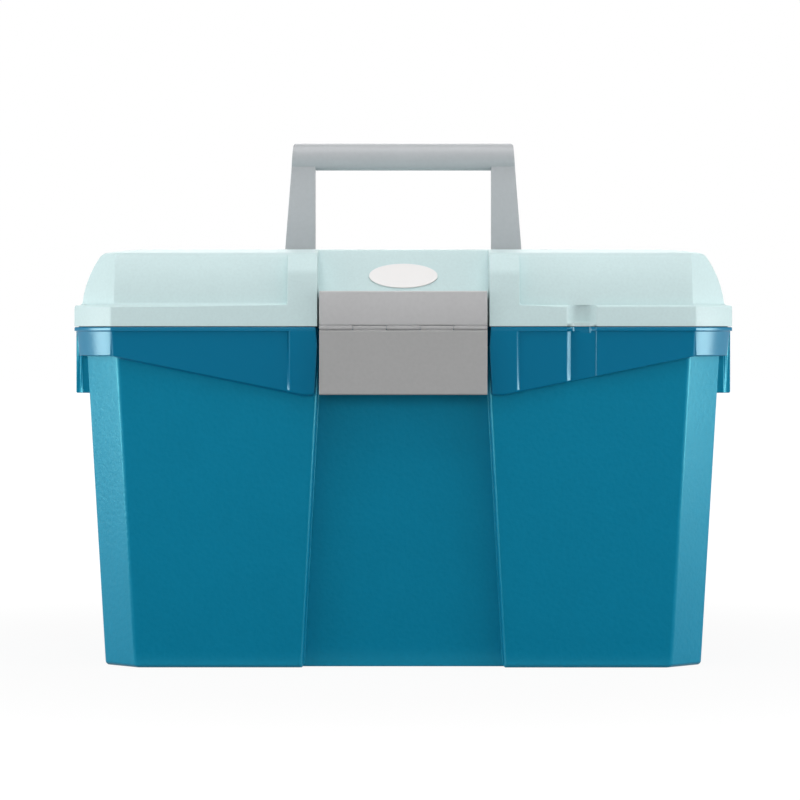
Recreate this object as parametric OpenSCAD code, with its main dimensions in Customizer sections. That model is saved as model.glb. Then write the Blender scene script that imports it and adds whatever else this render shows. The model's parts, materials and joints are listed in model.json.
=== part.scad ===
// Horse grooming box: a drafted plastic body with a hinged lid, a folding
// carry handle, a flap latch and a lift-out tray. All lengths are millimetres.
// The front faces -Y, the lid opens towards +Y, and the box stands on Z = 0.

/* [Overall] */
// Width over the rim
rim_w = 400; // [380:1:430]
// Depth over the rim
rim_d = 264; // [250:1:290]
// Height of the body from the ground to the seam
body_h = 206.6; // [195:0.1:225]
// Height of the lid from the seam to its top
lid_h = 47.8; // [45:0.1:56]
// Corner cut of the rim, measured along each side
rim_cut = 24; // [20:0.5:28]
// Thickness of the moulded walls
wall = 2.5; // [2:0.1:3]
// Open gap between the lid and the body at the seam
seam_gap = 0.4; // [0.2:0.1:0.8]

/* [Body] */
// How far the foot of the wall stands inside the rim
base_inset = 17.9; // [16:0.1:20]
// Lean of the body walls, in degrees
draft = 3.07; // [2.5:0.01:3.4]
// Corner cut of the body wall
body_cut = 19.7; // [16:0.1:22]
// Thickness of the body floor
floor_t = 3.5; // [3:0.1:5]
// Chamfer round the foot of the body
foot_edge = 1.5; // [1:0.1:2.5]
// Width of the ring that the box stands on
foot_ring = 14; // [10:0.5:20]
// How far the floor inside that ring is raised
foot_relief = 1.2; // [0.6:0.1:1.6]
// Thickness of the flange at the seam
flange_t = 2.4; // [2:0.1:3]
// Height of the lip that stands up inside the lid
lip_h = 5; // [3:0.5:8]
// Thickness of that lip
lip_t = 1.8; // [1.4:0.1:2.4]
// Clearance between the lip and the lid
lip_clear = 0.5; // [0.4:0.1:0.8]

/* [Band under the rim] */
// How far the band stands back from the flange edge
band_setback = 1.5; // [1:0.1:2]
// Lean of the band, in degrees
band_draft = 5.5; // [4:0.1:6]
// Height of the band below the flange at the corners
band_h = 15; // [13:0.1:18]
// How far the band reaches below the flange beside the latch
band_drop = 38.5; // [34:0.1:42]
// Distance from the middle to where the band levels out beside the latch
band_foot = 61; // [57:0.5:65]
// Distance from the middle to the outer edge of the strips beside the latch
strip_out = 70; // [66:0.5:74]

/* [Front panel and latch valley] */
// Depth of the recessed front panel
valley_depth = 9; // [7:0.1:10]
// Half width of the panel at the ground
valley_foot = 62.7; // [58:0.1:66]
// Half width of the panel at its waist, behind the latch
valley_waist = 51.8; // [51.7:0.1:53]
// Distance of that waist below the seam
waist_drop = 11.5; // [9:0.1:14]
// Half width of the panel at the seam
valley_mouth = 53; // [52:0.1:54]
// Chamfer along the edges of the panel
valley_chamfer = 1.5; // [1:0.1:2]
// Height above the seam where the valley in the lid starts to lean back
valley_bend = 17.5; // [16:0.1:19]
// Lean of the upper part of that valley, in degrees
valley_lean = 30; // [26:0.5:32]

/* [Lid] */
// Height of the rim of the lid
lid_rim_h = 13.2; // [12:0.1:14.5]
// Width of the ledge on top of that rim
ledge_w = 4.6; // [3.5:0.1:5.5]
// How far the crown of the lid runs in from the ledge to the flat top
crown_run = 45; // [40:0.5:50]
// Lean of the sides of the crown at the ledge, in degrees
side_lean = 6; // [3:0.5:9]
// Lean of those sides where the shoulder starts, in degrees
shoulder_lean = 34; // [30:0.5:38]
// Distance of that place below the top of the lid
shoulder_drop = 5.8; // [5:0.1:7]
// Slope of the top where the shoulder ends, in degrees
top_slope = 10; // [8:0.5:12]
// Corner cut of the flat top
crown_cut = 3; // [2:0.1:5]
// How much wider the corner cuts of the crown are than those of the rim
crown_corner = 1.5; // [0.5:0.1:2.5]
// Lean of the ridges beside the latch, in degrees
ridge_lean = 7.5; // [5:0.5:9]
// Lean of their heads, in degrees
ridge_head_lean = 34; // [30:0.5:38]
// Height above the seam where the heads start
ridge_bend = 33.1; // [31:0.1:34.5]
// Radius of the bend there
ridge_round = 10; // [6:0.5:12]
// Height of the ridges above the seam
ridge_h = 43.9; // [42:0.1:45]

/* [Grip wings] */
// Thickness of the wing plates
wing_t = 2.4; // [2:0.1:3]
// How far the wings hang below the flange
wing_drop = 37.7; // [33:0.1:42]
// How far the wings stand inside the flange edge
wing_setback = 0.6; // [0.4:0.1:1]
// Thickness of the webs between the ends of the wings and the body
wing_web = 3; // [2.5:0.1:3.5]
// Chamfer along the outer edge of those webs
wing_edge = 1.9; // [1.2:0.1:2.2]

/* [Notch beside the latch] */
// Distance of the notch from the middle
notch_x = 107.5; // [100:0.5:115]
// Width of the notch at the rim
notch_w = 17.8; // [16:0.1:20]
// Depth of the notch in the lid rim
notch_depth = 5.5; // [4.5:0.1:6]
// Radius of its inner corners
notch_round = 4.9; // [3:0.1:5.5]
// Depth of the notch in the flange lip
notch_lip_depth = 3.2; // [2.5:0.1:3.6]
// Depth of the groove in the band below
notch_groove = 2.4; // [2:0.1:2.8]
// Thickness of the lip left at the foot of the notch
notch_lip = 2.4; // [2:0.1:3]

/* [Handle] */
// Height of the handle above the top of the lid
handle_h = 69.3; // [60:0.1:80]
// Half width of the opening under the bar
grip_half = 56; // [54:0.5:58]
// Half width of the handle at its top
handle_top_half = 70; // [68:0.5:72]
// Half width of the handle at the top of the lid
handle_foot_half = 75.2; // [73:0.1:77]
// Height of the bar
bar_h = 17.3; // [15:0.1:19]
// Depth of the bar from front to back
bar_d = 21; // [19:0.1:22]
// Thickness of the arms from front to back
arm_t = 14.4; // [13:0.1:16]
// Radius of the top corners
handle_round = 2.5; // [1.5:0.1:4]
// Wall left round the hollow in the back of the arms
arm_wall = 2.8; // [2.4:0.1:3.4]
// Clearance round the folded handle in its well
well_clear = 1.6; // [1.2:0.1:2]
// How far the finger scoop reaches in front of the folded bar
finger_scoop = 16; // [12:0.5:20]
// Radius of the handle pins
handle_pin_r = 3; // [2.5:0.1:3.5]
// Length of the bosses that hold the handle pins
pin_boss = 3; // [2:0.5:4]

/* [Latch] */
// Clearance between the latch and each side of the valley
latch_clear = 1.3; // [0.8:0.1:2]
// Thickness of the latch plates
latch_t = 3; // [2.6:0.1:3.4]
// How far the flap stands in front of the rim
flap_proud = 3; // [2.5:0.1:3.6]
// How far the hood bulges in front of the flap
hood_bulge = 0.6; // [0.3:0.1:0.9]
// Height of the hood above the seam
hood_h = 21.7; // [19:0.1:22.5]
// How far the flap hangs below the seam
flap_drop = 40.8; // [36:0.1:42]
// Depth of the walls round the back of the flap
flap_wall_d = 8; // [6:0.5:9]
// Radius of the knuckles between the hood and the flap
latch_knuckle_r = 1.4; // [1.3:0.05:1.5]
// Radius of the latch pin
latch_pin_r = 0.75; // [0.6:0.05:0.85]
// Radius of the pegs that hold the hood
peg_r = 2.4; // [2:0.1:2.6]
// Distance of those pegs from the middle
peg_x = 36.4; // [30:0.1:40]
// Width of the keeper on the body
keeper_w = 56; // [40:1:64]
// Height of each half of the keeper
keeper_h = 4; // [3:0.1:5]
// How far the keeper stands out from the front panel
keeper_reach = 5; // [4:0.1:5.5]

/* [Rear hinges] */
// Distance of each hinge from the middle
hinge_x = 110; // [90:1:125]
// Distance of the hinge axis behind the rim
hinge_offset = 0.4; // [0.3:0.1:0.8]
// Radius of the hinge knuckles
hinge_knuckle_r = 3.2; // [3:0.1:3.6]
// Radius of the hinge pins
hinge_pin_r = 1.6; // [1.4:0.1:1.8]
// Width of the lid knuckle
lid_knuckle_w = 20; // [16:0.5:26]
// Width of each body knuckle
body_knuckle_w = 12; // [9:0.5:16]

/* [Tray] */
// Depth of the tray below its rim
tray_h = 46; // [36:1:60]
// Thickness of the tray walls
tray_wall = 2; // [1.6:0.1:2.4]
// Clearance between the tray rim and the body
tray_clear = 1.2; // [0.8:0.1:1.6]
// Clearance between the tray and the lip behind the latch
tray_front_clear = 1.2; // [0.8:0.1:3]
// Distance of the long divider behind the middle
divider_y = 18; // [5:1:30]
// Width of the grip hole in the divider
tray_grip_w = 84; // [70:1:100]
// Height of that grip hole
tray_grip_h = 20; // [16:0.5:24]

/* [Oval plate] */
// Width of the plate on the valley slope
plate_w = 41.8; // [36:0.1:46]
// Height of the plate along the slope
plate_h = 17; // [14:0.1:18]
// Thickness of the plate
plate_t = 0.8; // [0.6:0.1:1.2]
// Gap between the plate and the top of the hood
plate_gap = 1.8; // [1:0.1:4]

/* [Hidden] */
$fn = 64;

// Extra length of a cut past the face that it opens
overrun = 1;
// How deep a shape is set into the wall that carries it
bite = 1;
// Radial clearance of a pin that turns, and of one that is held
turn_clear = 0.05;
held_clear = 0.02;
// Gap between pieces that swing past each other
swing_gap = 0.4;

half_w = rim_w / 2;
half_d = rim_d / 2;
flange_low = body_h - flange_t;
lid_low = body_h + seam_gap;
rim_top = body_h + lid_rim_h;
lid_top = body_h + lid_h;
band_corner_z = flange_low - band_h;
band_low_z = flange_low - band_drop;
lip_inset = wall + lip_clear;
mouth_inset = lip_inset + lip_t;
front_cut_y = -half_d - valley_depth;

// Crown: three arcs that run on into each other, up the side, round the shoulder and over the top
top_lean = 90 - top_slope;
side_arc = arc_span(side_lean, shoulder_lean);
shoulder_arc = arc_span(shoulder_lean, top_lean);
top_arc = arc_span(top_lean, 90);
side_r = (lid_top - rim_top - shoulder_drop) / side_arc.y;
top_run = crown_run - side_r * side_arc.x;
top_r = (top_run * shoulder_arc.y - shoulder_drop * shoulder_arc.x)
    / (top_arc.x * shoulder_arc.y - top_arc.y * shoulder_arc.x);
shoulder_r = (shoulder_drop - top_r * top_arc.y) / shoulder_arc.y;
shoulder_from = side_r * side_arc;
top_from = shoulder_from + shoulder_r * shoulder_arc;

// Handle: the pivot lies so deep that the folded bar is flush with the lid
pivot_z = lid_top - bar_d / 2 - swing_gap;
handle_top = lid_top + handle_h;
bar_z = handle_top - bar_h / 2;
well_floor = pivot_z - bar_d / 2 - swing_gap;
fold_far = handle_top - pivot_z;
fold_near = fold_far - bar_h;
scoop_half = grip_half - bar_h;
pin_from = grip_half - well_clear - wall - pin_boss;
pin_to = handle_foot_half + well_clear + wall + pin_boss;

// Latch: the pin lies in the groove between the hood and the flap
latch_w = 2 * (valley_waist - latch_clear);
flap_front = -half_d - flap_proud;
latch_axis_y = flap_front + latch_t / 2;
latch_axis_z = body_h - seam_gap;
latch_gap = latch_knuckle_r + turn_clear * 2;
latch_chamfer = latch_t / 5;
flap_low = body_h - flap_drop;
hood_low = latch_axis_z + latch_gap;
hood_top = body_h + hood_h;
knuckle_count = 5;
keeper_z = (body_h + flap_low) / 2;
hood_peg_z = (lid_low + body_h + valley_bend) / 2;

// Where the front panel and the valley in the lid lie
panel_side_share = 4 / 3;
valley_y = -(half_d - wall_inset(body_h)) + valley_depth;

// Rear hinge axis
hinge_y = half_d + hinge_offset;
hinge_z = body_h + seam_gap / 2;
hinge_pin_l = lid_knuckle_w + 2 * body_knuckle_w + 2 * swing_gap;

// Tray: it hangs on the ledges that the band leaves inside the body
ledge_z = band_corner_z + wall;
tray_low = ledge_z + swing_gap / 2;
tray_rim_t = tray_wall;
tray_rim_inset = band_inset(ledge_z) + wall + tray_clear;
tray_half_d = -valley_y - mouth_inset - tray_front_clear;
tray_side_inset = wall_inset(ledge_z) + wall + tray_clear;

// Run and rise of an arc of radius 1 from one lean to another
function arc_span(a, b) = [cos(a) - cos(b), sin(b) - sin(a)];

// Point of the crown where it has a lean, as its run and rise from the ledge
function crown_point(a) =
    a <= shoulder_lean ? side_r * arc_span(side_lean, a)
    : a <= top_lean ? shoulder_from + shoulder_r * arc_span(shoulder_lean, a)
    : top_from + top_r * arc_span(top_lean, a);

// How far the body wall stands inside the rim at a height
function wall_inset(z) = base_inset - z * tan(draft);

// How far the band stands inside the rim at a height
function band_inset(z) = band_setback + max(0, flange_low - z) * tan(band_draft);

// How far the panel leans back from the seam down to a height
function valley_step(z) = wall_inset(z) - wall_inset(body_h);

// Cut of an outline whose sides have moved inwards
function moved_cut(cut, inset) = cut - inset * (2 - sqrt(2));

// Outline of the box with its four corners cut, moved in from the rim
function outline(inset, cut) =
    let (w = half_w - inset, d = half_d - inset)
    [[cut - w, -d], [w - cut, -d], [w, cut - d], [w, d - cut],
     [w - cut, d], [cut - w, d], [-w, d - cut], [-w, cut - d]];

function ring(z, inset, cut) = [for (p = outline(inset, cut)) [p.x, p.y, z]];

// Half width of the recessed front panel at a height
function panel_half(z) =
    let (waist_z = body_h - waist_drop)
    z > waist_z
        ? valley_waist + (valley_mouth - valley_waist) * (z - waist_z) / waist_drop
        : valley_foot + (valley_waist - valley_foot) * z / waist_z;

// Skin through rings of equal count, closed at both ends
module loft(rings) {
    count = len(rings[0]);
    last = len(rings) - 1;
    sides = [for (i = [0 : last - 1], j = [0 : count - 1])
        let (a = i * count + j, b = i * count + (j + 1) % count)
        each [[a, a + count, b + count], [a, b + count, b]]];
    foot = [for (j = [1 : count - 2]) [0, j, j + 1]];
    head = [for (j = [1 : count - 2]) [0, j + 1, j] + last * count * [1, 1, 1]];
    polyhedron([for (r = rings) each r], concat(sides, foot, head));
}

// Prism of a profile drawn in Y and Z, from one X to another
module across(x_from, x_to) {
    translate([x_from, 0, 0])
        rotate([90, 0, 90])
            linear_extrude(x_to - x_from) children();
}

// Prism of a profile drawn in X and Z, from one Y to another
module through(y_from, y_to) {
    translate([0, y_to, 0])
        rotate([90, 0, 0])
            linear_extrude(y_to - y_from) children();
}

// Copies on both sides of the middle
module both_sides() {
    children();
    mirror([1, 0, 0]) children();
}

// Round rod along X
module rod_x(x_from, x_to, y, z, r) {
    translate([x_from, y, z])
        rotate([0, 90, 0])
            cylinder(h = x_to - x_from, r = r);
}

// Lower body as a drafted block, moved inwards for its inside
module wall_block(inset, z_from, z_to) {
    loft([for (z = [z_from, z_to])
        ring(z, wall_inset(z) + inset, moved_cut(body_cut, inset))]);
}

// Space over the V-shaped lower edge of the band at the front
module band_front(lift) {
    low = band_low_z + lift;
    corner = band_corner_z + lift;
    knee = half_w - rim_cut;
    through(front_cut_y, -half_d + rim_cut)
        polygon([[-knee, body_h], [-knee, corner], [-band_foot, low],
            [band_foot, low], [knee, corner], [knee, body_h]]);
}

// Band under the rim with its lower edge in a V at the front
module band_block(inset, lift, head) {
    corner = band_corner_z + lift;
    intersection() {
        loft([for (z = [band_low_z + lift, head])
            ring(z, band_inset(z) + inset, moved_cut(rim_cut, band_inset(z) + inset))]);
        union() {
            band_front(lift);
            translate([-half_w, -half_d, corner])
                cube([rim_w, rim_d, body_h - corner]);
        }
    }
}

// Raised strip beside the latch, flush with the flange at its top
module strip() {
    intersection() {
        loft([for (z = [band_low_z, flange_low + bite])
            let (y = band_inset(z) - half_d, face = y - band_setback)
            [[valley_waist - valley_chamfer, face, z], [strip_out - band_setback, face, z],
             [strip_out, y, z], [strip_out, y + bite + wall, z],
             [valley_waist - valley_chamfer, y + bite + wall, z]]]);
        band_front(0);
    }
}

// Space in front of the recessed panel, grown for the wall behind it
module panel_space(grow) {
    loft([for (z = [-overrun, body_h - waist_drop, body_h + lip_h + overrun])
        let (w = panel_half(min(z, body_h)) + grow,
             face = wall_inset(z) - half_d + grow,
             inner = w - valley_chamfer * panel_side_share)
        [[0, front_cut_y, z], [w, front_cut_y, z], [w, face, z],
         [w - valley_chamfer, face + valley_chamfer, z], [inner, face + valley_depth, z],
         [-inner, face + valley_depth, z], [valley_chamfer - w, face + valley_chamfer, z],
         [-w, face, z], [-w, front_cut_y, z]]]);
}

// Plan of the notch: slanted walls and a flat back, with round corners between them
module notch_plan(depth, corner_r, grow) {
    mouth = notch_w / 2 + grow;
    r = corner_r + grow;
    turn = atan2(depth + grow, notch_w / 4);
    flat = notch_w / 4 + grow - r * tan(turn / 2);
    back = -half_d + depth + grow;
    translate([notch_x, 0])
        polygon(concat([[-mouth, front_cut_y], [mouth, front_cut_y], [mouth, -half_d]],
            [for (s = [0 : 1 / 4 : 1])
                let (a = 90 - turn * (1 - s)) [flat + r * cos(a), back - r * (1 - sin(a))]],
            [for (s = [0 : 1 / 4 : 1])
                let (a = 90 + turn * s) [r * cos(a) - flat, back - r * (1 - sin(a))]],
            [[-mouth, -half_d]]));
}

// Recess of the notch in the lid rim
module notch_recess(grow, z_from, z_to) {
    translate([0, 0, z_from])
        linear_extrude(z_to - z_from) notch_plan(notch_depth, notch_round, grow);
}

// Shallower cut that the notch makes in the flange and in the lip at its foot
module notch_lip_cut(z_from, z_to) {
    translate([0, 0, z_from])
        linear_extrude(z_to - z_from) notch_plan(notch_lip_depth, notch_lip_depth / 4, 0);
}

// Groove that carries the notch on down the band: a steep wall, then a floor that rises again
module notch_groove_space(grow) {
    mouth = notch_w / 2 + grow;
    step = notch_groove / 6;
    loft([for (z = [band_low_z - overrun, flange_low])
        let (face = band_inset(z) - half_d + grow)
        [[notch_x - mouth, front_cut_y, z], [notch_x + mouth, front_cut_y, z],
         [notch_x + mouth, face, z], [notch_x + mouth - step, face + step, z],
         [notch_x - mouth + notch_groove, face + notch_groove, z], [notch_x - mouth, face, z]]]);
}

// Thin plate that hangs beside the body as a lifting grip, with end webs just behind the corners
module wing() {
    x_out = half_w - wing_setback;
    x_in = x_out - wing_t;
    low = flange_low - wing_drop;
    end = half_d - wall_inset(low) - body_cut;
    x_wall = half_w - wall_inset(low) - bite;
    translate([x_in, wing_edge - end, low])
        cube([wing_t, 2 * (end - wing_edge), wing_drop + flange_t / 2]);
    for (side = [0, 1]) mirror([0, side, 0])
        translate([0, 0, low])
            linear_extrude(band_corner_z - low + bite)
                polygon([[x_wall, -end], [x_in - wing_edge, -end], [x_in, wing_edge - end],
                    [x_in + wing_t / 2, wing_edge - end], [x_in + wing_t / 2, wing_web - end],
                    [x_wall, wing_web - end]]);
}

// Gusset that carries a knuckle, drawn in Y and Z beside the hinge axis
module knuckle_profile(reach) {
    gusset_h = hinge_knuckle_r * 4;
    root = hinge_y - hinge_offset - wall;
    translate([hinge_y, hinge_z]) circle(hinge_knuckle_r);
    polygon([[hinge_y + hinge_knuckle_r, hinge_z], [root, hinge_z],
        [root, hinge_z + reach * gusset_h], [half_d, hinge_z + reach * gusset_h]]);
}

module body_knuckles(side) {
    for (end = [-1, 1]) {
        middle = side * hinge_x + end * (lid_knuckle_w / 2 + swing_gap + body_knuckle_w / 2);
        across(middle - body_knuckle_w / 2, middle + body_knuckle_w / 2)
            knuckle_profile(-1);
    }
}

module lid_knuckle(side) {
    across(side * hinge_x - lid_knuckle_w / 2, side * hinge_x + lid_knuckle_w / 2)
        knuckle_profile(1);
}

// Room for the knuckles of the other half to turn in
module body_knuckle_room(side) {
    for (end = [-1, 1]) {
        middle = side * hinge_x + end * (lid_knuckle_w / 2 + swing_gap + body_knuckle_w / 2);
        reach = body_knuckle_w / 2 + swing_gap;
        rod_x(middle - reach, middle + reach, hinge_y, hinge_z, hinge_knuckle_r + swing_gap);
    }
}

module lid_knuckle_room(side) {
    reach = lid_knuckle_w / 2 + swing_gap;
    rod_x(side * hinge_x - reach, side * hinge_x + reach, hinge_y, hinge_z,
        hinge_knuckle_r + swing_gap);
}

module hinge_bore(side, clear) {
    rod_x(side * hinge_x - hinge_pin_l / 2 - overrun, side * hinge_x + hinge_pin_l / 2 + overrun,
        hinge_y, hinge_z, hinge_pin_r + clear);
}

// Rib that the hook of the flap snaps under
module keeper() {
    y_root = valley_y + valley_step(keeper_z - keeper_h);
    across(-keeper_w / 2, keeper_w / 2)
        polygon([[y_root + bite, keeper_z - keeper_h], [valley_y - keeper_reach, keeper_z - keeper_h],
            [valley_y - keeper_reach, keeper_z - keeper_h / 2], [y_root, keeper_z + keeper_h],
            [y_root + bite, keeper_z + keeper_h]]);
}

// Front of the lip, where it follows the valley in the lid
module lip_front(grow) {
    panel_space(grow);
    valley_space(grow);
    notch_recess(grow, flange_low - 2 * overrun, body_h + lip_h + 2 * overrun);
}

// Inside of the body: the drafted walls and the band, then the mouth in the lip
module body_inside() {
    difference() {
        union() {
            wall_block(wall, floor_t, flange_low - overrun);
            band_block(wall, wall, flange_low);
        }
        panel_space(wall);
        notch_groove_space(wall);
    }
    difference() {
        translate([0, 0, flange_low - overrun])
            linear_extrude(flange_t + lip_h + 2 * overrun)
                polygon(outline(mouth_inset, moved_cut(rim_cut, mouth_inset)));
        lip_front(mouth_inset);
    }
}

// One moulding: drafted tub, V band, strips, flange, lip, wings and knuckles
module body_shell() {
    color([0.0, 0.43, 0.55])
    difference() {
        union() {
            loft([ring(0, base_inset + foot_edge, body_cut),
                ring(foot_edge, wall_inset(foot_edge), body_cut),
                ring(body_h - flange_t / 2, wall_inset(body_h - flange_t / 2), body_cut)]);
            band_block(0, 0, body_h - flange_t / 2);
            both_sides() strip();
            translate([0, 0, flange_low])
                linear_extrude(flange_t) polygon(outline(0, rim_cut));
            difference() {
                translate([0, 0, body_h - flange_t / 2])
                    linear_extrude(lip_h + flange_t / 2)
                        polygon(outline(lip_inset, moved_cut(rim_cut, lip_inset)));
                lip_front(lip_inset);
            }
            both_sides() wing();
            for (side = [-1, 1]) body_knuckles(side);
        }
        difference() {
            panel_space(0);
            keeper();
        }
        body_inside();
        notch_lip_cut(flange_low - overrun, body_h + lip_h);
        notch_groove_space(0);
        translate([0, 0, -overrun])
            linear_extrude(foot_relief + overrun)
                difference() {
                    polygon(outline(base_inset + foot_ring, body_cut));
                    translate([-valley_foot, -half_d])
                        square([2 * valley_foot, base_inset + valley_depth + foot_ring]);
                }
        for (side = [-1, 1]) {
            lid_knuckle_room(side);
            hinge_bore(side, held_clear);
        }
    }
}

// Valley in the lid that the latch lies in, drawn in Y and Z
module valley_profile(grow) {
    y = valley_y + grow;
    bend = body_h + valley_bend - grow * tan(valley_lean / 2);
    head = lid_top + overrun;
    polygon([[front_cut_y, lid_low - overrun], [y, lid_low - overrun], [y, bend],
        [y + (head - bend) * tan(valley_lean), head], [front_cut_y, head]]);
}

module valley_space(grow) {
    half = valley_waist + grow;
    across(-half, half) valley_profile(grow);
}

// Ridge beside the valley: upright at the rim, then a lean and a steeper head with a round bend
// between them. It is moved inwards for its inside.
module ridge(inset) {
    face = inset - half_d;
    low = body_h + lid_rim_h / 2;
    mid_lean = (ridge_lean + ridge_head_lean) / 2;
    reach = ridge_round / cos(ridge_head_lean - mid_lean);
    centre = [-half_d + (ridge_bend - lid_rim_h) * tan(ridge_lean), body_h + ridge_bend]
        + reach * [cos(mid_lean), -sin(mid_lean)];
    bend = [for (s = [0 : 1 / 5 : 1])
        let (a = ridge_lean + s * (ridge_head_lean - ridge_lean))
        centre + (ridge_round - inset) * [-cos(a), sin(a)]];
    head_z = body_h + ridge_h - inset;
    head_y = bend[5].x + (head_z - bend[5].y) * tan(ridge_head_lean);
    root = face + 2 * ledge_w + top_from.x;
    across(valley_waist - bite, strip_out - inset)
        polygon(concat([[face, low], [face, rim_top - inset * tan(ridge_lean / 2)]], bend,
            [[head_y, head_z], [root, head_z], [root, low]]));
}

// Crowned lid as a block from its rim to its top, moved inwards for its inside
module lid_crown(inset) {
    leans = concat([for (s = [0 : 1 / 5 : 1]) side_lean + s * (shoulder_lean - side_lean)],
        [for (s = [1 / 6 : 1 / 6 : 1]) shoulder_lean + s * (top_lean - shoulder_lean)],
        [for (s = [1 / 3 : 1 / 3 : 1]) top_lean + s * top_slope]);
    rings = [for (a = leans)
        let (p = crown_point(a), cut = max(rim_cut + crown_corner - ledge_w - p.x, crown_cut))
        ring(rim_top + p.y - inset * sin(a), ledge_w + p.x + inset * cos(a),
            moved_cut(cut, inset * cos(a)))];
    loft(concat([[for (p = rings[0]) p - [0, 0, bite]]], rings));
}

// U-shaped well in the top of the lid that the folded handle drops into
module handle_well(grow) {
    out = handle_foot_half + well_clear + grow;
    in = grip_half - well_clear - grow;
    front = -arm_t / 2 - well_clear - grow;
    back = fold_far + well_clear + grow;
    low = well_floor - grow;
    height = lid_top + overrun - low;
    for (side = [0, 1]) mirror([side, 0, 0])
        translate([in, front, low]) cube([out - in, back - front, height]);
    translate([-out, fold_near - well_clear - grow, low])
        cube([2 * out, fold_far - fold_near + 2 * (well_clear + grow), height]);
    translate([-scoop_half - grow, fold_near - finger_scoop - grow, low])
        cube([2 * (scoop_half + grow), finger_scoop + well_clear + 2 * grow, height]);
}

module handle_pin_at(side, x_from, x_to, r) {
    mirror([side < 0 ? 1 : 0, 0, 0]) rod_x(x_from, x_to, 0, pivot_z, r);
}

module lid_inside() {
    difference() {
        union() {
            translate([0, 0, lid_low - overrun])
                linear_extrude(rim_top - wall - lid_low + overrun)
                    polygon(outline(wall, moved_cut(rim_cut, wall)));
            translate([0, 0, lid_low])
                linear_extrude(rim_top - lid_low)
                    polygon(outline(ledge_w + wall, moved_cut(rim_cut, ledge_w + wall)));
            lid_crown(wall);
            both_sides() ridge(wall);
        }
        valley_space(wall);
        handle_well(wall);
        notch_recess(wall, lid_low - overrun, rim_top + wall);
        for (side = [-1, 1])
            handle_pin_at(side, pin_from, pin_to, handle_pin_r + wall);
    }
}

// One moulding: rim, crown, ridges, latch valley, handle well and knuckles
module lid_shell() {
    color([0.74, 0.84, 0.85])
    difference() {
        union() {
            translate([0, 0, lid_low])
                linear_extrude(rim_top - lid_low) polygon(outline(0, rim_cut));
            lid_crown(0);
            both_sides() ridge(0);
            for (side = [-1, 1]) lid_knuckle(side);
        }
        lid_inside();
        valley_space(0);
        handle_well(0);
        notch_recess(0, lid_low + notch_lip, rim_top);
        notch_lip_cut(lid_low - overrun, lid_low + notch_lip + overrun);
        for (side = [-1, 1]) {
            handle_pin_at(side, pin_from - overrun, pin_to + overrun, handle_pin_r + held_clear);
            body_knuckle_room(side);
            hinge_bore(side, turn_clear);
            translate([side * peg_x, valley_y - overrun, hood_peg_z])
                rotate([-90, 0, 0])
                    cylinder(h = wall + 2 * overrun, r = peg_r + held_clear);
        }
    }
}

// Front outline of the handle, drawn in X and Z
module handle_outline() {
    low = pivot_z - arm_t;
    corner = handle_top_half - handle_round;
    polygon(concat(
        [[-handle_foot_half, lid_top], [-handle_foot_half, low],
         [handle_foot_half, low], [handle_foot_half, lid_top]],
        [for (a = [0 : 15 : 90])
            [corner + handle_round * cos(a), handle_top - handle_round * (1 - sin(a))]],
        [for (a = [90 : 15 : 180])
            [-corner + handle_round * cos(a), handle_top - handle_round * (1 - sin(a))]]));
}

// Bar of oval section, arms that hang from it and their hollowed backs
module carry_handle() {
    pocket_low = pivot_z + arm_t / 2 + arm_wall;
    pocket_top = bar_z - bar_h / 2 - arm_wall;
    color([0.66, 0.67, 0.68])
    difference() {
        intersection() {
            through(-bar_d, bar_d) handle_outline();
            union() {
                across(-handle_foot_half, handle_foot_half)
                    polygon([for (a = [0 : 10 : 350])
                        [bar_d / 2 * cos(a), bar_z + bar_h / 2 * sin(a)]]);
                both_sides() {
                    translate([grip_half, -arm_t / 2, pivot_z])
                        cube([handle_foot_half - grip_half + arm_t, arm_t, bar_z - pivot_z]);
                    rod_x(grip_half, handle_foot_half + arm_t, 0, pivot_z, arm_t / 2);
                }
            }
        }
        both_sides() {
            through(arm_wall - arm_t / 2, arm_t)
                polygon([[grip_half + arm_wall, pocket_low],
                    [handle_foot_half - arm_wall, pocket_low],
                    [handle_top_half - arm_wall, pocket_top],
                    [grip_half + arm_wall, pocket_top]]);
            rod_x(grip_half - overrun, handle_foot_half + arm_t, 0, pivot_z,
                handle_pin_r + turn_clear);
        }
    }
}

module handle_pin(side) {
    color([0.7, 0.7, 0.72]) handle_pin_at(side, pin_from, pin_to, handle_pin_r);
}

// Knuckles of one half of the latch, with the web that joins them to it
module latch_knuckles(odd, reach) {
    width = latch_w / knuckle_count;
    web = latch_knuckle_r;
    for (i = [0 : knuckle_count - 1]) if (i % 2 == odd) {
        x_from = -latch_w / 2 + i * width + (i > 0 ? swing_gap / 2 : 0);
        x_to = -latch_w / 2 + (i + 1) * width - (i < knuckle_count - 1 ? swing_gap / 2 : 0);
        rod_x(x_from, x_to, latch_axis_y, latch_axis_z, latch_knuckle_r);
        across(x_from, x_to)
            polygon([[latch_axis_y - web / 2, latch_axis_z], [latch_axis_y + web, latch_axis_z],
                [latch_axis_y + web, latch_axis_z + reach * (latch_gap + bite)],
                [latch_axis_y - web / 2, latch_axis_z + reach * (latch_gap + bite)]]);
    }
}

module latch_bore(clear) {
    rod_x(-latch_w / 2 - overrun, latch_w / 2 + overrun, latch_axis_y, latch_axis_z,
        latch_pin_r + clear);
}

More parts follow.
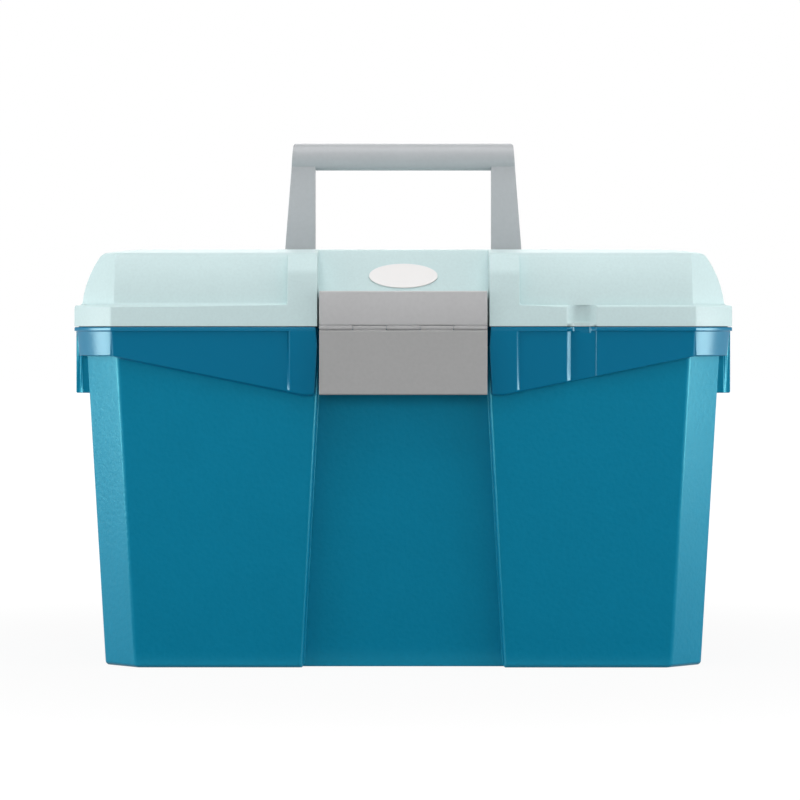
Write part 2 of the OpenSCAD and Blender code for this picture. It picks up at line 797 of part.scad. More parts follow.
// Bowed cover fixed in the valley of the lid; it carries the flap
module latch_hood() {
    half = latch_w / 2;
    slope_y = valley_y + max(0, hood_top - body_h - valley_bend) * tan(valley_lean);
    slope_low = valley_y + max(0, hood_top - latch_t - body_h - valley_bend) * tan(valley_lean);
    inner = flap_front + latch_t;
    bow = [for (s = [0 : 1 / 8 : 1])
        let (z = hood_low + latch_chamfer + s * (hood_top - 2 * latch_chamfer - hood_low))
        [flap_front - hood_bulge * (1 - pow(2 * s - 1, 2)), z]];
    color([0.68, 0.68, 0.68])
    difference() {
        union() {
            across(-half, half)
                polygon(concat([[inner, hood_low], [flap_front + latch_chamfer, hood_low]], bow,
                    [[flap_front + latch_chamfer, hood_top], [slope_y, hood_top],
                     [slope_low, hood_top - latch_t], [inner, hood_top - latch_t]]));
            both_sides()
                across(half - latch_t, half)
                    polygon([[inner - bite, hood_low], [valley_y, hood_low],
                        [valley_y, body_h + valley_bend], [slope_low, hood_top - latch_t],
                        [slope_low, hood_top - bite], [inner - bite, hood_top - bite]]);
            both_sides() {
                translate([peg_x, valley_y - latch_t * 2, hood_peg_z])
                    rotate([-90, 0, 0])
                        cylinder(h = wall + latch_t * 2, r = peg_r);
                translate([peg_x - latch_t / 2, inner - bite, hood_low])
                    cube([latch_t, valley_y - inner + bite, hood_top - hood_low - bite]);
            }
            latch_knuckles(0, 1);
        }
        latch_bore(held_clear);
    }
}

// Flap with walls round its back and a hook for the keeper
module latch_flap() {
    half = latch_w / 2;
    inner = flap_front + latch_t;
    wall_back = flap_front + flap_wall_d;
    top = latch_axis_z - latch_gap;
    hook_top = keeper_z - keeper_h - swing_gap;
    hook_y = valley_y - keeper_reach - swing_gap;
    color([0.62, 0.62, 0.62])
    difference() {
        union() {
            across(-half, half)
                polygon([[inner, top], [flap_front + latch_chamfer, top],
                    [flap_front, top - latch_chamfer], [flap_front, flap_low + latch_chamfer],
                    [flap_front + latch_chamfer, flap_low], [wall_back, flap_low],
                    [wall_back, flap_low + latch_t], [inner, flap_low + latch_t]]);
            both_sides()
                across(half - latch_t, half)
                    polygon([[inner - bite, top - latch_t], [wall_back, top - 2 * latch_t],
                        [wall_back, flap_low + bite], [inner - bite, flap_low + bite]]);
            across(-keeper_w / 2, keeper_w / 2)
                polygon([[inner - bite, hook_top], [hook_y, hook_top], [hook_y, hook_top - latch_t / 2],
                    [wall_back - latch_t, hook_top - latch_t], [inner - bite, hook_top - latch_t]]);
            latch_knuckles(1, -1);
        }
        latch_bore(turn_clear);
    }
}

module latch_pin() {
    color([0.7, 0.7, 0.72])
        rod_x(-latch_w / 2, latch_w / 2, latch_axis_y, latch_axis_z, latch_pin_r);
}

module hinge_pin(side) {
    color([0.7, 0.7, 0.72])
        rod_x(side * hinge_x - hinge_pin_l / 2, side * hinge_x + hinge_pin_l / 2,
            hinge_y, hinge_z, hinge_pin_r);
}

// Plan of the tray with its corners cut like the body
function tray_ring(z, x_half, y_half, cut) =
    [[cut - x_half, -y_half, z], [x_half - cut, -y_half, z], [x_half, cut - y_half, z],
     [x_half, y_half - cut, z], [x_half - cut, y_half, z], [cut - x_half, y_half, z],
     [-x_half, y_half - cut, z], [-x_half, cut - y_half, z]];

// Lift-out tray: a rim on the side ledges, a drafted tub and three bays
module tray() {
    top = tray_low + tray_rim_t;
    low = tray_low - tray_h;
    lean = tray_h * tan(draft);
    rim_x = half_w - tray_rim_inset;
    tub_x = half_w - tray_side_inset;
    cut = body_cut;
    color([0.8, 0.86, 0.87])
    difference() {
        union() {
            loft([tray_ring(low, tub_x - lean, tray_half_d - lean, cut),
                tray_ring(top, tub_x, tray_half_d, cut)]);
            loft([tray_ring(tray_low, rim_x, tray_half_d, cut + tray_clear),
                tray_ring(top, rim_x, tray_half_d, cut + tray_clear)]);
        }
        difference() {
            loft([tray_ring(low + tray_wall, tub_x - lean - tray_wall,
                    tray_half_d - lean - tray_wall, cut - tray_wall),
                tray_ring(top + overrun, tub_x - tray_wall, tray_half_d - tray_wall,
                    cut - tray_wall)]);
            translate([-half_w, divider_y - tray_wall / 2, low])
                cube([rim_w, tray_wall, tray_h + tray_rim_t]);
            translate([-tray_wall / 2, divider_y, low])
                cube([tray_wall, half_d, tray_h + tray_rim_t]);
        }
        for (side = [-1, 1])
            translate([side * tray_grip_w / 2 - tray_grip_w / 4, divider_y - tray_wall,
                    top - tray_grip_h - tray_wall * 4])
                cube([tray_grip_w / 2, 2 * tray_wall, tray_grip_h]);
    }
}

// Plain oval plate on the slope of the valley above the latch
module oval_plate() {
    middle = (hood_h - valley_bend + plate_gap) / cos(valley_lean) + plate_h / 2;
    color([0.95, 0.96, 0.97])
        translate([0, valley_y, body_h + valley_bend])
            rotate([90 - valley_lean, 0, 0])
                translate([0, middle, 0])
                    linear_extrude(plate_t)
                        polygon([for (a = [0 : 7.5 : 352.5])
                            [plate_w / 2 * cos(a), plate_h / 2 * sin(a)]]);
}

body_shell();
lid_shell();
carry_handle();
handle_pin(-1);  // handle_pin_left
handle_pin(1);  // handle_pin_right
latch_hood();
latch_flap();
latch_pin();
hinge_pin(-1);  // hinge_pin_left
hinge_pin(1);  // hinge_pin_right
tray();
oval_plate();
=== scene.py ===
import itertools
import json
import math

import bmesh
import bpy
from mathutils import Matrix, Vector, geometry

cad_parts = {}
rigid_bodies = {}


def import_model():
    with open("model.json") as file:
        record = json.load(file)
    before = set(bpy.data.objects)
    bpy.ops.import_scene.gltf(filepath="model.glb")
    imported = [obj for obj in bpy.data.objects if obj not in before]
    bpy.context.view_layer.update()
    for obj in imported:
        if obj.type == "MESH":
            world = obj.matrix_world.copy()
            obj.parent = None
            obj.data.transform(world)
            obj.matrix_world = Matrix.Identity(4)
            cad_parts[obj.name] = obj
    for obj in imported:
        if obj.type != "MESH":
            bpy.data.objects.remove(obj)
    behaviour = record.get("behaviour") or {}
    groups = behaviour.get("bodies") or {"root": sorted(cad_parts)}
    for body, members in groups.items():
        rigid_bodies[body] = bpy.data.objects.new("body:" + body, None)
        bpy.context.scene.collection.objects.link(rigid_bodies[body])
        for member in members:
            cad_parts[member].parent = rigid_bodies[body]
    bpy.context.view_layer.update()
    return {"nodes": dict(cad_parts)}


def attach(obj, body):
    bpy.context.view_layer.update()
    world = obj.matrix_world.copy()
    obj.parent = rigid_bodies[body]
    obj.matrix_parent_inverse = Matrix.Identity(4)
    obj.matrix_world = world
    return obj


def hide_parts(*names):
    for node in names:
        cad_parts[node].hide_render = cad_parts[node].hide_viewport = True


for leftover in list(bpy.data.objects):
    bpy.data.objects.remove(leftover)

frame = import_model()


# The tub: one injection moulding in blue-green plastic, with a polished band under the rim
# and a spark-eroded grain on the walls below it. Its edges are rounded because the mould is.
wall_colour = (0, 124, 160)
band_colour = (0, 115, 154)
tub_edge_radius = 0.0008
band_corner_height = 0.1892
band_foot_height = 0.1657
band_foot_half = 0.061
band_knee_half = 0.176
band_slack = 0.0003
band_underside_foot = 0.16
wall_half_width = 0.18
wall_half_depth = 0.115
wall_top = 0.1905
strip_half = 0.0705
strip_back = 0.119
flange_foot = 0.2042
flange_top = 0.2067
flange_weld = 0.00011
shading_line = 0.010
soft_edge_radius = 0.0018
sharp_radius = 0.0001
near = 0.0001


def linear(colour):
    """Turns a colour as a screen shows it into the values that a shader takes."""
    shares = [c / 255 for c in colour]
    return tuple(s / 12.92 if s <= 0.04045 else ((s + 0.055) / 1.055) ** 2.4 for s in shares) + (1.0,)


def room_at_corner(edge):
    """Shortest edge at either end of an edge, or the mean width of a face beside it."""
    ends = [other.calc_length() for corner in edge.verts for other in corner.link_edges]
    faces = [2 * face.calc_area() / face.calc_perimeter() for face in edge.link_faces]
    return min(ends + faces)


def gap_between(one, other):
    """Least distance between two edges of a flat face."""
    gaps = []
    for edge, facing in ((one, other), (other, one)):
        start, stop = (corner.co for corner in facing.verts)
        for corner in edge.verts:
            nearest, share = geometry.intersect_point_line(corner.co, start, stop)
            nearest = start if share < 0 else stop if share > 1 else nearest
            gaps.append((corner.co - nearest).length)
    return min(gaps)


packed_weld = 0.000002
flat_angle = math.radians(0.6)


def packed_shape(node):
    """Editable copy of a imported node, with its flat faces whole again."""
    shape = bmesh.new()
    shape.from_mesh(frame["nodes"][node].data)
    bmesh.ops.remove_doubles(shape, verts=shape.verts, dist=packed_weld)
    bmesh.ops.dissolve_limit(shape, angle_limit=flat_angle, verts=shape.verts, edges=shape.edges)
    return shape


corner_bow = 0.0017
bow_cuts = 5
bow_facing = 0.98
bow_reach = 0.19


def bow_corners(shape, lowest, highest):
    """Bows the slanting outer corners between two heights outwards, as a mould-maker does."""
    for right in (-1, 1):
        for rear in (-1, 1):
            outward = Vector((right, rear, 0.0)).normalized()
            sideways = Vector((-rear, right, 0.0)).normalized()

            def corner_faces():
                return [face for face in shape.faces
                        if face.normal.dot(outward) > bow_facing
                        and face.calc_center_median().dot(outward) > bow_reach
                        and min(corner.co.z for corner in face.verts) > lowest
                        and max(corner.co.z for corner in face.verts) < highest]

            spots = [corner.co.dot(sideways) for face in corner_faces() for corner in face.verts]
            middle, half = (max(spots) + min(spots)) / 2, (max(spots) - min(spots)) / 2
            lifted = []
            for step in range(1 - bow_cuts, bow_cuts):
                share = step / bow_cuts
                faces = corner_faces()
                lines = {line for face in faces for line in face.edges}
                points = {point for face in faces for point in face.verts}
                cut = bmesh.ops.bisect_plane(shape, geom=faces + list(lines) + list(points),
                                             plane_co=sideways * (middle + half * share), plane_no=sideways)
                lifted += [(point, corner_bow * (1 - share * share)) for point in cut["geom_cut"]
                           if isinstance(point, bmesh.types.BMVert)]
            for point, amount in lifted:
                point.co += outward * amount


sharp_angle = 0.42
least_radius = 0.00012
own_share = 0.75
room_share = 0.4
gap_share = 0.9
evening_rounds = 12
ring_corners = 5
ring_width = 0.003


def moulded_copy(shape, name, radius, own_radius=None):
    """Object from a shape, with its sharp edges rounded as far as the faces beside them give room,
    evenly along each run, and shaded smooth. Narrow rings are split, so that they stay rings."""
    rounding = shape.edges.layers.float.new("bevel_weight_edge")
    for face in shape.faces:
        face.smooth = True
        face.material_index = 0
    widths = {}
    for edge in shape.edges:
        if len(edge.link_faces) != 2 or edge.calc_face_angle() < sharp_angle:
            continue
        own = own_radius(edge) if own_radius else None
        room = room_at_corner(edge)
        width = min(own, room * own_share) if own else min(radius, room * room_share)
        if width < least_radius:
            edge.smooth = False
            continue
        widths[edge] = width
    for face in shape.faces:
        for one, other in itertools.combinations(face.edges, 2):
            wanted = widths.get(one, 0.0) + widths.get(other, 0.0)
            if wanted == 0.0 or set(one.verts) & set(other.verts):
                continue
            share = gap_share * gap_between(one, other) / wanted
            for edge in (one, other):
                if share < 1 and edge in widths:
                    widths[edge] *= share
    for _ in range(evening_rounds):
        for corner in shape.verts:
            run = [edge for edge in corner.link_edges if edge in widths]
            if len(run) == 2:
                widths[run[0]] = widths[run[1]] = min(widths[run[0]], widths[run[1]])
    for edge, width in widths.items():
        edge[rounding] = width / soft_edge_radius
    rings = [face for face in shape.faces
             if len(face.verts) > ring_corners and 2 * face.calc_area() / face.calc_perimeter() < ring_width]
    bmesh.ops.triangulate(shape, faces=rings)
    mesh = bpy.data.meshes.new(name)
    shape.to_mesh(mesh)
    shape.free()
    stale = mesh.attributes.get("custom_normal")
    if stale:
        mesh.attributes.remove(stale)
    piece = bpy.data.objects.new(name, mesh)
    bpy.context.scene.collection.objects.link(piece)
    edges = piece.modifiers.new("mould_radius", "BEVEL")
    edges.limit_method = "WEIGHT"
    edges.width = soft_edge_radius
    edges.segments = 3
    edges.profile = 0.5
    edges.use_clamp_overlap = False
    shading = piece.modifiers.new("even_shading", "WEIGHTED_NORMAL")
    shading.mode = "FACE_AREA"
    shading.keep_sharp = True
    return piece


def mould_grain_group():
    """Fine grain that a spark-eroded mould leaves: a height, and a soft cloud of tone."""
    group = bpy.data.node_groups.new("mould_grain", "ShaderNodeTree")
    group.interface.new_socket("Vector", in_out="INPUT", socket_type="NodeSocketVector")
    group.interface.new_socket("Scale", in_out="INPUT", socket_type="NodeSocketFloat")
    group.interface.new_socket("Height", in_out="OUTPUT", socket_type="NodeSocketFloat")
    group.interface.new_socket("Cloud", in_out="OUTPUT", socket_type="NodeSocketFloat")
    nodes, links = group.nodes, group.links
    entry = nodes.new("NodeGroupInput")
    leave = nodes.new("NodeGroupOutput")
    pits = nodes.new("ShaderNodeTexVoronoi")
    pits.feature = "SMOOTH_F1"
    pits.inputs["Smoothness"].default_value = 0.6
    crumbs = nodes.new("ShaderNodeTexNoise")
    crumbs.inputs["Detail"].default_value = 3.0
    crumbs.inputs["Roughness"].default_value = 0.65
    both = nodes.new("ShaderNodeMath")
    both.operation = "MULTIPLY_ADD"
    both.inputs[1].default_value = 0.55
    cloud = nodes.new("ShaderNodeTexNoise")
    cloud.inputs["Scale"].default_value = 38.0
    cloud.inputs["Detail"].default_value = 4.0
    links.new(entry.outputs["Vector"], pits.inputs["Vector"])
    links.new(entry.outputs["Scale"], pits.inputs["Scale"])
    links.new(entry.outputs["Vector"], crumbs.inputs["Vector"])
    links.new(entry.outputs["Scale"], crumbs.inputs["Scale"])
    speckle = nodes.new("ShaderNodeMapRange")
    speckle.inputs["From Min"].default_value = 0.35
    speckle.inputs["From Max"].default_value = 1.0
    mottle = nodes.new("ShaderNodeMix")
    mottle.inputs["Factor"].default_value = 0.5
    links.new(entry.outputs["Vector"], cloud.inputs["Vector"])
    links.new(pits.outputs["Distance"], both.inputs[0])
    links.new(crumbs.outputs["Fac"], both.inputs[2])
    links.new(both.outputs["Value"], leave.inputs["Height"])
    links.new(both.outputs["Value"], speckle.inputs["Value"])
    links.new(cloud.outputs["Fac"], mottle.inputs["A"])
    links.new(speckle.outputs["Result"], mottle.inputs["B"])
    links.new(mottle.outputs["Result"], leave.inputs["Cloud"])
    return group


mould_grain = mould_grain_group()


def moulded_plastic(name, colour, gloss, grain, depth, specular, tint=(1.0, 1.0, 1.0, 1.0), mottle=0.05):
    """Plastic in one colour: gloss is its roughness, grain a count per metre, depth in metres and
    mottle the share by which its tone and its roughness vary."""
    material = bpy.data.materials.new(name)
    material.use_nodes = True
    nodes, links = material.node_tree.nodes, material.node_tree.links
    plastic = nodes["Principled BSDF"]
    plastic.inputs["Specular IOR Level"].default_value = specular
    plastic.inputs["Specular Tint"].default_value = tint
    place = nodes.new("ShaderNodeTexCoord")
    surface = nodes.new("ShaderNodeGroup")
    surface.node_tree = mould_grain
    surface.inputs["Scale"].default_value = grain
    tone = nodes.new("ShaderNodeMix")
    tone.data_type = "RGBA"
    tone.inputs["A"].default_value = tuple((1 - mottle) * c for c in linear(colour)[:3]) + (1.0,)
    tone.inputs["B"].default_value = tuple((1 + mottle) * c for c in linear(colour)[:3]) + (1.0,)
    sheen = nodes.new("ShaderNodeMapRange")
    sheen.inputs["To Min"].default_value = gloss * (1 - 2 * mottle)
    sheen.inputs["To Max"].default_value = gloss * (1 + 2 * mottle)
    relief = nodes.new("ShaderNodeBump")
    relief.inputs["Strength"].default_value = 1.0
    relief.inputs["Distance"].default_value = depth
    links.new(place.outputs["Object"], surface.inputs["Vector"])
    links.new(surface.outputs["Cloud"], tone.inputs["Factor"])
    links.new(tone.outputs["Result"], plastic.inputs["Base Color"])
    links.new(surface.outputs["Height"], sheen.inputs["Value"])
    links.new(sheen.outputs["Result"], plastic.inputs["Roughness"])
    links.new(surface.outputs["Height"], relief.inputs["Height"])
    links.new(relief.outputs["Normal"], plastic.inputs["Normal"])
    return material


def above_band_edge(point):
    """True above the V-shaped lower edge of the band."""
    across = (abs(point.x) - band_foot_half) / (band_knee_half - band_foot_half)
    share = min(1.0, max(0.0, across))
    edge = band_foot_height + share * (band_corner_height - band_foot_height)
    return point.z > edge - band_slack


outer_share = 0.93
underside_normal = -0.6
wall_normal = 0.3
upright_half = 0.13
upright_length = 0.05
shading_piece = 0.005


def tub_edge(edge):
    """Radius of the tub's upright corners, of the lower edge of its band and where the strips end."""
    low, high = sorted(corner.co.z for corner in edge.verts)
    if flange_foot - low < near and max(abs(corner.co.x) for corner in edge.verts) < strip_half:
        if high - flange_foot < near or max(abs(corner.co.y) for corner in edge.verts) < strip_back:
            return sharp_radius
    out = min(max(abs(corner.co.x) / wall_half_width, abs(corner.co.y) / wall_half_depth)
              for corner in edge.verts)
    if high > wall_top or out < outer_share:
        return None
    length = high - low
    tall = length > upright_length or (length > shading_piece and abs(high - shading_line) < near)
    upright = tall and min(abs(corner.co.x) for corner in edge.verts) > upright_half
    downs = sorted(face.normal.z for face in edge.link_faces)
    under_band = low > band_underside_foot and downs[0] < underside_normal and abs(downs[1]) < wall_normal
    return soft_edge_radius if upright or under_band else None


bow_foot = 0.1884
slant_normal = 0.6
slant_area = 0.003
shape = packed_shape("body_shell")
flange_corners = [corner for corner in shape.verts if corner.co.z > flange_foot - near]
bmesh.ops.remove_doubles(shape, verts=flange_corners, dist=flange_weld)
bow_corners(shape, bow_foot, flange_top)
# A cut low down on the slanting faces, so that they are shaded evenly above it.
slants = [face for face in shape.faces
          if min(abs(face.normal.x), abs(face.normal.y)) > slant_normal and face.calc_area() > slant_area]
slant_lines = {line for face in slants for line in face.edges}
slant_points = {point for face in slants for point in face.verts}
bmesh.ops.bisect_plane(shape, geom=slants + list(slant_lines) + list(slant_points),
                       plane_co=(0.0, 0.0, shading_line), plane_no=(0.0, 0.0, 1.0))
tub = moulded_copy(shape, "moulded_tub", tub_edge_radius, tub_edge)
tub.data.materials.append(moulded_plastic(
    "grained_tub_wall", wall_colour, gloss=0.30, grain=380.0, depth=0.00010, specular=1.0,
    tint=(0.24, 0.95, 1.0, 1.0), mottle=0.07))
tub.data.materials.append(moulded_plastic(
    "polished_tub_band", band_colour, gloss=0.24, grain=420.0, depth=0.000004, specular=0.85,
    tint=(0.60, 0.95, 1.0, 1.0), mottle=0.01))
for face in tub.data.polygons:
    corners = [tub.data.vertices[i].co for i in face.vertices]
    face.material_index = 1 if all(above_band_edge(corner) for corner in corners) else 0
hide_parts("body_shell")
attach(tub, "body")


# Rear hinge pins: drawn steel rods, pressed into the outer knuckles of the tub.
def drawn_steel():
    """Bright steel with fine lines along the rod."""
    material = bpy.data.materials.new("drawn_steel")
    material.use_nodes = True
    nodes, links = material.node_tree.nodes, material.node_tree.links
    steel = nodes["Principled BSDF"]
    steel.inputs["Metallic"].default_value = 1.0
    steel.inputs["Base Color"].default_value = linear((182, 184, 187))
    place = nodes.new("ShaderNodeTexCoord")
    stretch = nodes.new("ShaderNodeMapping")
    stretch.inputs["Scale"].default_value = (40.0, 2500.0, 2500.0)
    lines = nodes.new("ShaderNodeTexNoise")
    lines.inputs["Scale"].default_value = 1.0
    lines.inputs["Detail"].default_value = 2.0
    sheen = nodes.new("ShaderNodeMapRange")
    sheen.inputs["To Min"].default_value = 0.22
    sheen.inputs["To Max"].default_value = 0.42
    links.new(place.outputs["Object"], stretch.inputs["Vector"])
    links.new(stretch.outputs["Vector"], lines.inputs["Vector"])
    links.new(lines.outputs["Fac"], sheen.inputs["Value"])
    links.new(sheen.outputs["Result"], steel.inputs["Roughness"])
    return material


pin_steel = drawn_steel()
for pin in ("hinge_pin_left", "hinge_pin_right"):
    frame["nodes"][pin].data.materials.clear()
    frame["nodes"][pin].data.materials.append(pin_steel)


# The lid: a pale moulding with a stepped rim, a crowned top, two ridges beside the latch
# and a well for the folded handle. It turns on the rear pins.
lid_colour = (200, 222, 223)
lid_edge_radius = 0.0008
lid_rim_foot = 0.2069
lid_rim_top = 0.2200
lid_rim_slack = 0.0005
lid_rear = 0.13
parting_radius = 0.0003


def lid_edge(edge):
    """Radius of the upper and the lower edge of the lid's rim, which stays sharp above the hinges."""
    low, high = sorted(corner.co.z for corner in edge.verts)
    if lid_rim_top - low < lid_rim_slack and abs(high - lid_rim_top) < lid_rim_slack:
        return sharp_radius if min(corner.co.y for corner in edge.verts) > lid_rear else soft_edge_radius
    return parting_radius if high - lid_rim_foot < lid_rim_slack else None


shape = packed_shape("lid_shell")
bow_corners(shape, lid_rim_foot, lid_rim_top)
lid = moulded_copy(shape, "moulded_lid", lid_edge_radius, lid_edge)
lid.data.materials.append(moulded_plastic(
    "grained_lid", lid_colour, gloss=0.42, grain=600.0, depth=0.00003, specular=0.3))
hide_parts("lid_shell")
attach(lid, "lid")


# Handle pins: steel rods that cross the well of the lid inside moulded bosses.
for pin in ("handle_pin_left", "handle_pin_right"):
    frame["nodes"][pin].data.materials.clear()
    frame["nodes"][pin].data.materials.append(pin_steel)


# The carry handle: a round bar on two flat arms, one grey moulding that is cored out
# from behind. It stands on its pins or folds back into the lid.
handle_colour = (176, 179, 182)
handle_edge_radius = 0.0009
handle = moulded_copy(packed_shape("carry_handle"), "folding_handle", handle_edge_radius)
handle.data.materials.append(moulded_plastic(
    "satin_handle", handle_colour, gloss=0.38, grain=420.0, depth=0.00003, specular=0.45))
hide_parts("carry_handle")
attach(handle, "handle")


# The latch: a bowed hood that is pegged into the valley of the lid, and a flap that hangs
# from it on a thin steel pin and hooks under the rib of the tub. Both are grey mouldings.
hood_colour = (187, 187, 188)
flap_colour = (166, 166, 166)
knuckle_colour = (176, 176, 177)
latch_edge_radius = 0.0010
latch_pivot = Vector((0.0, -0.1335, 0.2062))
latch_knuckle_radius = 0.0020
hood = moulded_copy(packed_shape("latch_hood"), "bowed_hood", latch_edge_radius)
hood.data.materials.append(moulded_plastic(
    "satin_hood", hood_colour, gloss=0.36, grain=420.0, depth=0.00003, specular=0.4))
knuckle_plastic = moulded_plastic(
    "satin_knuckle", knuckle_colour, gloss=0.36, grain=700.0, depth=0.00002, specular=0.4)


def dress_knuckles(piece):
    """Gives the knuckles round the latch pin the same tone on both mouldings."""
    piece.data.materials.append(knuckle_plastic)
    for face in piece.data.polygons:
        away = face.center - latch_pivot
        face.material_index = 1 if math.hypot(away.y, away.z) < latch_knuckle_radius else 0


dress_knuckles(hood)
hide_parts("latch_hood")
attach(hood, "lid")

flap = moulded_copy(packed_shape("latch_flap"), "latch_flap_moulding", latch_edge_radius)
flap.data.materials.append(moulded_plastic(
    "satin_flap", flap_colour, gloss=0.36, grain=420.0, depth=0.00003, specular=0.4))
dress_knuckles(flap)
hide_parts("latch_flap")
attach(flap, "latch")

frame["nodes"]["latch_pin"].data.materials.clear()
frame["nodes"]["latch_pin"].data.materials.append(pin_steel)


# The oval plate: a thin white plastic disc with a soft edge, glued to the slope of the lid.
plate_colour = (238, 236, 235)
plate_edge_radius = 0.0003
plate = moulded_copy(packed_shape("oval_plate"), "glued_oval_plate", plate_edge_radius)
plate.data.materials.append(moulded_plastic(
    "white_plate", plate_colour, gloss=0.28, grain=600.0, depth=0.000001, specular=0.4, mottle=0.004))
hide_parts("oval_plate")
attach(plate, "lid")


# The tray: a pale lift-out moulding with three bays and two grip holes in its divider.
tray_colour = (200, 220, 222)
tray_edge_radius = 0.0003
tray = moulded_copy(packed_shape("tray"), "lift_out_tray", tray_edge_radius)
tray.data.materials.append(moulded_plastic(
    "grained_tray", tray_colour, gloss=0.40, grain=900.0, depth=0.00003, specular=0.45))
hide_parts("tray")
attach(tray, "insert")


# The studio: a pale floor that keeps the shadow, a white room with a dark side behind the
# camera and a black card that only reflections see. The lamps are one overhead, a key above
# the front, a fill above the camera, one behind, and two low ones on each side.
floor_half = 12.0
card_half = 1.5
card_place = (0.0, -1.63, 0.002)
picture_side = 800
shape = bmesh.new()
bmesh.ops.create_grid(shape, x_segments=8, y_segments=8, size=floor_half)
floor_mesh = bpy.data.meshes.new("studio_floor")
shape.to_mesh(floor_mesh)
shape.free()
floor = bpy.data.objects.new("studio_floor", floor_mesh)
bpy.context.scene.collection.objects.link(floor)
paper = bpy.data.materials.new("pale_floor")
paper.use_nodes = True
nodes, links = paper.node_tree.nodes, paper.node_tree.links
nodes.clear()
end = nodes.new("ShaderNodeOutputMaterial")
lit = nodes.new("ShaderNodeBsdfDiffuse")
lit.inputs["Color"].default_value = (0.35, 0.35, 0.35, 1.0)
glow = nodes.new("ShaderNodeEmission")
glow.inputs["Color"].default_value = (1.0, 1.0, 1.0, 1.0)
glow.inputs["Strength"].default_value = 1.06
rays = nodes.new("ShaderNodeLightPath")
seen = nodes.new("ShaderNodeMath")
seen.operation = "MAXIMUM"
mirrored = nodes.new("ShaderNodeMath")
mirrored.operation = "MAXIMUM"
place = nodes.new("ShaderNodeTexCoord")
away = nodes.new("ShaderNodeVectorMath")
away.operation = "LENGTH"
whiter = nodes.new("ShaderNodeMapRange")
whiter.interpolation_type = "SMOOTHSTEP"
whiter.inputs["From Min"].default_value = 0.25
whiter.inputs["From Max"].default_value = 0.80
whiter.inputs["To Min"].default_value = 0.88
whiter.inputs["To Max"].default_value = 1.0
share = nodes.new("ShaderNodeMath")
share.operation = "MULTIPLY"
sides = nodes.new("ShaderNodeSeparateXYZ")
dark_side = nodes.new("ShaderNodeMapRange")
dark_side.interpolation_type = "SMOOTHSTEP"
dark_side.inputs["From Min"].default_value = -0.40
dark_side.inputs["From Max"].default_value = 0.25
mirror_share = nodes.new("ShaderNodeMath")
mirror_share.operation = "MULTIPLY"
blend = nodes.new("ShaderNodeMixShader")
links.new(rays.outputs["Is Glossy Ray"], mirrored.inputs[0])
links.new(rays.outputs["Is Transmission Ray"], mirrored.inputs[1])
links.new(place.outputs["Object"], sides.inputs["Vector"])
links.new(sides.outputs["Y"], dark_side.inputs["Value"])
links.new(mirrored.outputs["Value"], mirror_share.inputs[0])
links.new(dark_side.outputs["Result"], mirror_share.inputs[1])
links.new(rays.outputs["Is Camera Ray"], seen.inputs[0])
links.new(mirror_share.outputs["Value"], seen.inputs[1])
links.new(place.outputs["Object"], away.inputs[0])
links.new(away.outputs["Value"], whiter.inputs["Value"])
links.new(seen.outputs["Value"], share.inputs[0])
links.new(whiter.outputs["Result"], share.inputs[1])
links.new(share.outputs["Value"], blend.inputs["Fac"])
links.new(lit.outputs["BSDF"], blend.inputs[1])
links.new(glow.outputs["Emission"], blend.inputs[2])
links.new(blend.outputs["Shader"], end.inputs["Surface"])
floor.data.materials.append(paper)

shape = bmesh.new()
bmesh.ops.create_grid(shape, x_segments=1, y_segments=1, size=card_half)
bmesh.ops.translate(shape, verts=shape.verts, vec=card_place)
card_mesh = bpy.data.meshes.new("black_card")
shape.to_mesh(card_mesh)
shape.free()
card = bpy.data.objects.new("black_card", card_mesh)
bpy.context.scene.collection.objects.link(card)
velvet = bpy.data.materials.new("black_velvet")
velvet.use_nodes = True
velvet.node_tree.nodes["Principled BSDF"].inputs["Base Color"].default_value = (0.0, 0.0, 0.0, 1.0)
velvet.node_tree.nodes["Principled BSDF"].inputs["Specular IOR Level"].default_value = 0.0
card.data.materials.append(velvet)
card.visible_camera = False
card.visible_diffuse = False
card.visible_shadow = False

room = bpy.data.worlds.new("white_room")
bpy.context.scene.world = room
room.use_nodes = True
nodes, links = room.node_tree.nodes, room.node_tree.links
nodes.clear()
end = nodes.new("ShaderNodeOutputWorld")
ambient = nodes.new("ShaderNodeBackground")
ambient.inputs["Color"].default_value = (1.0, 1.0, 1.0, 1.0)
ambient.inputs["Strength"].default_value = 0.10
reflected = nodes.new("ShaderNodeBackground")
reflected.inputs["Strength"].default_value = 1.0
backdrop = nodes.new("ShaderNodeBackground")
backdrop.inputs["Color"].default_value = (1.0, 1.0, 1.0, 1.0)
backdrop.inputs["Strength"].default_value = 1.0
rays = nodes.new("ShaderNodeLightPath")
mirrored = nodes.new("ShaderNodeMath")
mirrored.operation = "MAXIMUM"
place = nodes.new("ShaderNodeTexCoord")
sides = nodes.new("ShaderNodeSeparateXYZ")
dark_side = nodes.new("ShaderNodeMapRange")
dark_side.interpolation_type = "SMOOTHSTEP"
dark_side.inputs["From Min"].default_value = 0.0
dark_side.inputs["From Max"].default_value = 1.0
dark_side.inputs["To Min"].default_value = 0.02
dark_side.inputs["To Max"].default_value = 1.0
first = nodes.new("ShaderNodeMixShader")
second = nodes.new("ShaderNodeMixShader")
links.new(place.outputs["Generated"], sides.inputs["Vector"])
links.new(sides.outputs["Y"], dark_side.inputs["Value"])
links.new(dark_side.outputs["Result"], reflected.inputs["Color"])
links.new(rays.outputs["Is Glossy Ray"], mirrored.inputs[0])
links.new(rays.outputs["Is Transmission Ray"], mirrored.inputs[1])
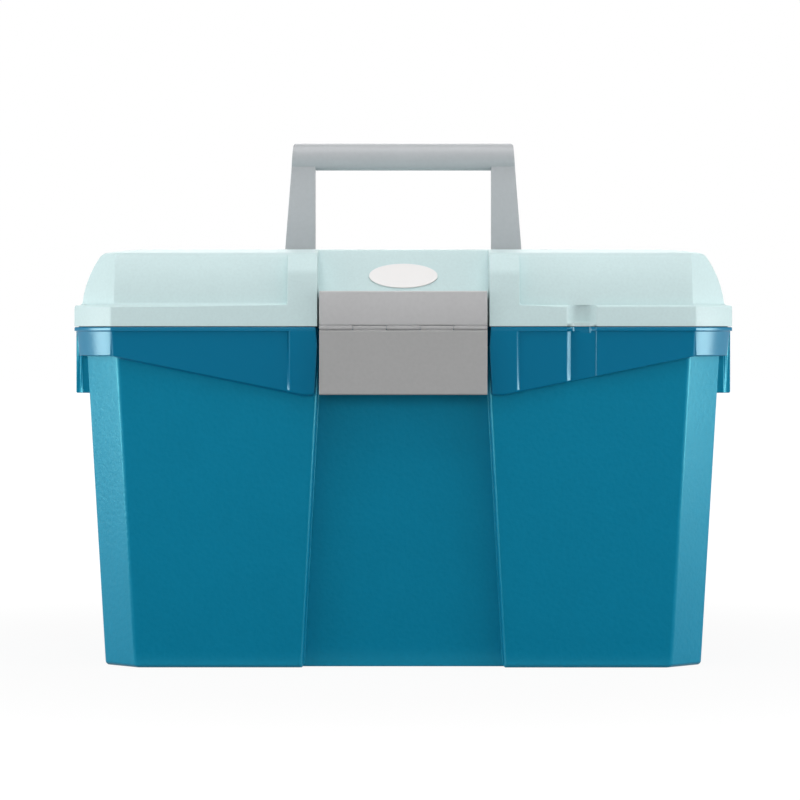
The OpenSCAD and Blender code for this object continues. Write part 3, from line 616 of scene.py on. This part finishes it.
links.new(mirrored.outputs["Value"], first.inputs["Fac"])
links.new(ambient.outputs["Background"], first.inputs[1])
links.new(reflected.outputs["Background"], first.inputs[2])
links.new(rays.outputs["Is Camera Ray"], second.inputs["Fac"])
links.new(first.outputs["Shader"], second.inputs[1])
links.new(backdrop.outputs["Background"], second.inputs[2])
links.new(second.outputs["Shader"], end.inputs["Surface"])


def softbox(name, size, power, place, aim):
    """Rectangular lamp that faces a point, out of the camera's sight."""
    lamp = bpy.data.lights.new(name, "AREA")
    lamp.shape = "RECTANGLE"
    lamp.size, lamp.size_y = size
    lamp.energy = power
    holder = bpy.data.objects.new(name, lamp)
    bpy.context.scene.collection.objects.link(holder)
    holder.location = place
    holder.rotation_euler = (Vector(aim) - Vector(place)).to_track_quat("-Z", "Y").to_euler()
    holder.visible_camera = False
    return holder


softbox("overhead", (1.2, 0.9), 8.4, (0.0, 0.0, 1.7), (0.0, 0.0, 0.25))
softbox("key_above_front", (1.5, 0.9), 9.9, (0.0, -0.75, 1.7), (0.0, -0.1, 0.2))
fill = softbox("fill_above_camera", (1.4, 0.7), 8.9, (0.0, -2.0, 0.56), (0.0, -0.1, 0.2))
fill.visible_glossy = False
softbox("behind", (1.4, 0.8), 7.0, (0.0, 1.45, 0.95), (0.0, 0.1, 0.2))
for side in (-1, 1):
    softbox("front_quarter", (0.7, 0.9), 3.6, (1.15 * side, -0.80, 0.46), (0.0, -0.1, 0.18))
    softbox("side_strip", (0.36, 0.28), 2.7, (0.85 * side, -0.27, 0.16), (0.0, -0.27, 0.08))

camera = bpy.data.cameras.new("camera")
camera.sensor_width = 36.0
camera.lens = 164.6
camera.shift_x = -3.3 / picture_side
camera.shift_y = -70.0 / picture_side
viewpoint = bpy.data.objects.new("camera", camera)
bpy.context.scene.collection.objects.link(viewpoint)
viewpoint.location = (0.0, -2.332, 0.2048)
viewpoint.rotation_euler = (math.radians(90), 0.0, 0.0)
bpy.context.scene.camera = viewpoint

bpy.context.scene.view_settings.view_transform = "Standard"
